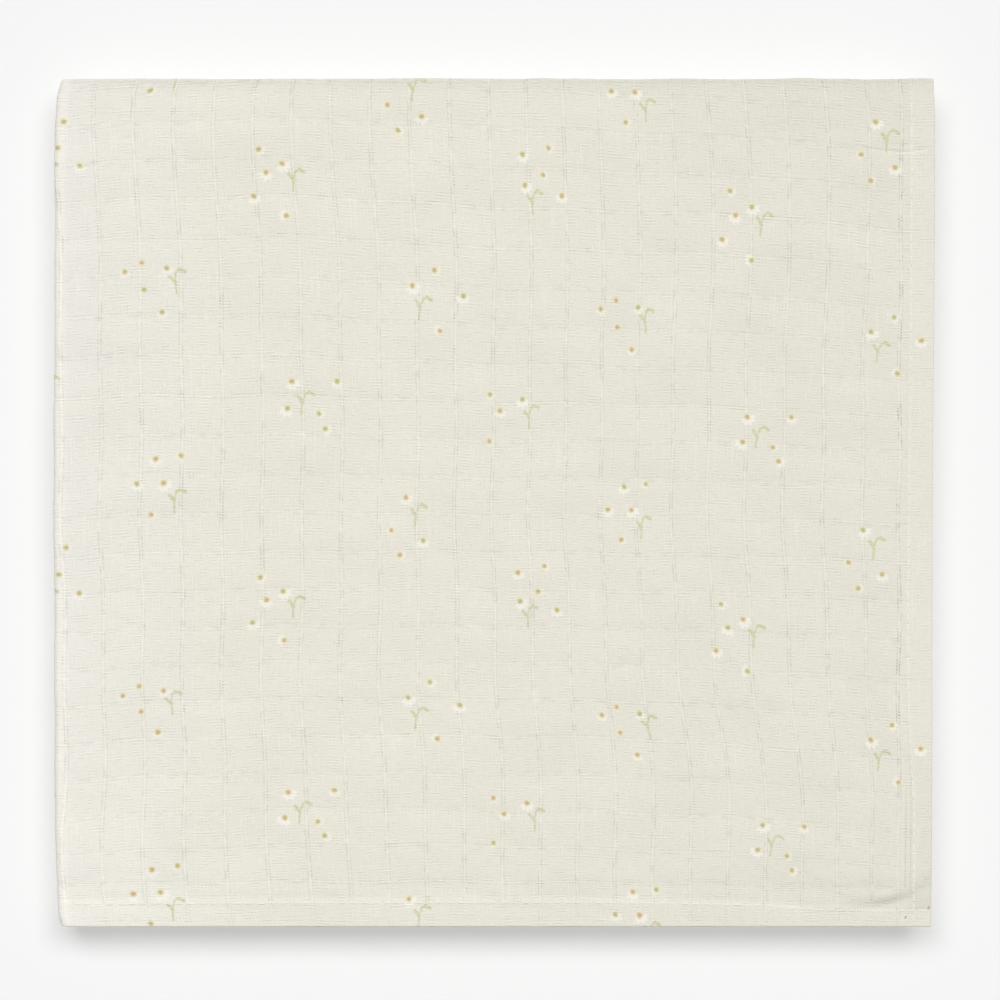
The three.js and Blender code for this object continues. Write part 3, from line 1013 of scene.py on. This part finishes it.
def printed_colour(tree, motifs, cloth, threads, parts, colour):
    """A colour with the print on it: leaves, petals, halos and then eyes."""
    daisies, sprig = motifs
    uneven_ink = tree.noise(threads, (1.4, 1.4, 1), detail=1, output="Color")
    wobble = tree.vector("MULTIPLY_ADD", uneven_ink, (0.8, 0.8, 0), (-0.4, -0.4, 0))
    flowers = [tree.motif(daisies, f"daisy_{k + 1}", wobble) for k in range(DAISIES)]
    petals, eyes, halos = (tree.chain("MAXIMUM", shares) for shares in zip(*flowers))
    leaf = tree.motif(sprig, "sprig", wobble)[0]
    ink = tree.step(parts["grain"], -0.25, 0.05, 0.6, 1)
    leaf_ink = tree.step(tree.add(parts["grain"], parts["slub_weft"]), -0.2, 0.15, 0.25, 1)
    ripe = tree.step(tree.noise(cloth, (7, 7, 1), detail=0), 0.4, 0.6)
    for share, shade in (
        (tree.times(leaf, leaf_ink, 0.9), SHADES["leaf"]),
        (tree.times(petals, ink, 0.84), SHADES["petal"]),
        (tree.times(halos, 0.6), SHADES["halo"]),
        (tree.times(eyes, 0.96), tree.mix(ripe, SHADES["eye"], SHADES["eye_green"])),
    ):
        colour = tree.mix(share, colour, shade)
    return colour


def muslin_material(*motifs):
    """Printed double gauze: threads and slubs, tacking lines, the daisy print, painted light and
    shade.
    """
    values = {"Specular IOR Level": 0.2, "Sheen Weight": 0.12, "Sheen Roughness": 0.6}
    material, tree, shader = new_material("muslin_print", values)
    cloth = tree.attribute("cloth")
    true_s, true_t, _ = tree.split(cloth)
    side, end, from_hem = tree.split(tree.attribute("along"))
    left = tree.math("PINGPONG", side, SIDE_RUN)
    drift_s = tree.times(tree.math("SINE", tree.math("MULTIPLY_ADD", true_t, 0.11, 1.3)), 0.35)
    drift_t = tree.times(tree.math("SINE", tree.math("MULTIPLY_ADD", true_s, 0.13, 0.4)), 0.35)
    s, t = tree.math("ADD", true_s, drift_s), tree.math("ADD", true_t, drift_t)
    threads = tree.node("ShaderNodeCombineXYZ", {0: s, 1: t}).outputs[0]
    parts = weave_parts(tree, s, t, threads)
    shade = tree.add(
        tree.weighted(parts, WEAVE_TINTS),
        sewn_tints(tree, s, t, side, end, from_hem),
        painted_light_and_hem_tints(tree, side, end, left, from_hem),
        PAINTED_SHADE_AT_SIDE_HEM,
    )
    # painted light: the cloth's colour turns whiter towards the left fold
    base = tree.mix(tree.step(left, 225, 304), SHADES["cloth"], SHADES["cloth_painted_lit_left"])
    colour = printed_colour(tree, motifs, cloth, threads, parts, tree.scaled(base, shade))
    finish(tree, shader, colour, tree.weighted(parts, WEAVE_HEIGHTS), 1, MM)
    rough = tree.math("MULTIPLY_ADD", parts["grain"], 0.1, 0.91)
    tree.link(rough, shader.inputs["Roughness"])
    return material


def thread_material(name, shade):
    """Twisted cotton sewing thread."""
    material, tree, shader = new_material(name, {"Roughness": 0.75})
    place = tree.node("ShaderNodeTexCoord").outputs["Object"]
    twist = tree.noise(place, (0.00025,) * 3)
    colour = tree.mix(tree.times(twist, 0.5), shade, SHADES["cloth"])
    finish(tree, shader, colour, twist, 0.5, 0.1 * MM)
    return material


# ---- Floor, light and camera ----

FLOOR_SIZE = 12.0
FLOOR_DROP = 0.0003
FLOOR_SHADE = 0.48
FLOOR_GLOW = 0.441
# One soft light, wider than it is deep, as two that overlap: their tilt to the right and towards
# +Y, in degrees, and their strengths.
LIGHTS = [
    {"right": -15, "up": 24, "strength": 1.47},
    {"right": 16, "up": 23, "strength": 1.51},
]
LIGHT_SPREAD = 29
AMBIENT = 0.15  # how bright the world is for the scene, and for the camera itself
BACKDROP = 0.93
PHOTO_PIXELS = 1000
PIXEL = 0.3425 * MM  # what one pixel of the photograph's frame covers at the top face
LENS = 200.0
SENSOR = 36.0
PACKET_PIXEL = (493.6, 502.6)  # where the packet's middle lies in the photograph's frame


def make_stage():
    mesh = bpy.data.meshes.new("floor")
    half = FLOOR_SIZE / 2
    corners = [(x * half, y * half, -FLOOR_DROP) for x, y in ((-1, -1), (1, -1), (1, 1), (-1, 1))]
    mesh.from_pydata(corners, [], [(0, 1, 2, 3)])
    material, _, _ = new_material("pale_floor", {
        "Base Color": (FLOOR_SHADE, FLOOR_SHADE, FLOOR_SHADE, 1), "Roughness": 1.0,
        "Specular IOR Level": 0.0, "Emission Color": (1, 1, 1, 1), "Emission Strength": FLOOR_GLOW,
    })
    mesh.materials.append(material)
    put_in_scene("floor", mesh)


def make_light():
    for number, row in enumerate(LIGHTS):
        sun = bpy.data.lights.new(f"light_{number}", "SUN")
        sun.energy = row["strength"]
        sun.angle = math.radians(LIGHT_SPREAD)
        lamp = put_in_scene(f"light_{number}", sun)
        right, up = math.tan(math.radians(row["right"])), math.tan(math.radians(row["up"]))
        lamp.rotation_mode = "QUATERNION"
        lamp.rotation_quaternion = Vector((right, up, 1)).to_track_quat("Z", "Y")

    world = bpy.data.worlds.new("studio")
    world.use_nodes = True
    tree = Tree(world.node_tree)
    background = world.node_tree.nodes["Background"]
    seen = tree.node("ShaderNodeLightPath").outputs["Is Camera Ray"]
    strength = tree.math("MULTIPLY_ADD", seen, BACKDROP - AMBIENT, AMBIENT)
    tree.link(strength, background.inputs["Strength"])
    background.inputs["Color"].default_value = (1, 1, 1, 1)
    scene = bpy.context.scene
    scene.world = world
    scene.view_settings.view_transform = "Standard"
    scene.view_settings.look = "None"


def make_camera(top):
    """Straight above, as far away as makes a pixel of the 1000 by 1000 frame its true size."""
    data = bpy.data.cameras.new("camera")
    data.lens = LENS
    data.sensor_width = SENSOR
    camera = put_in_scene("camera", data)
    distance = PIXEL * PHOTO_PIXELS * LENS / SENSOR
    middle = PHOTO_PIXELS / 2
    camera.location = (
        (middle - PACKET_PIXEL[0]) * PIXEL, (PACKET_PIXEL[1] - middle) * PIXEL, top + distance
    )
    bpy.context.scene.camera = camera


cloth, moved = make_cloth()
cloth.data.materials.append(muslin_material(daisy_group(), sprig_group()))
stitches = make_threads("hem_stitches", stitch_rows(), moved)
stitches.data.materials.append(thread_material("sewing_thread", SHADES["thread"]))
end_rows = [np.array([row["from"], row["to"]]).T for row in THREAD_ENDS]
thread_ends = make_threads("thread_ends", end_rows, moved)
thread_ends.data.materials.append(thread_material("thread_end", SHADES["thread_end"]))
for piece in (cloth, stitches, thread_ends):
    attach(piece, "root")
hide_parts("blanket")

make_stage()
make_light()
make_camera(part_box("blanket")[1][2])
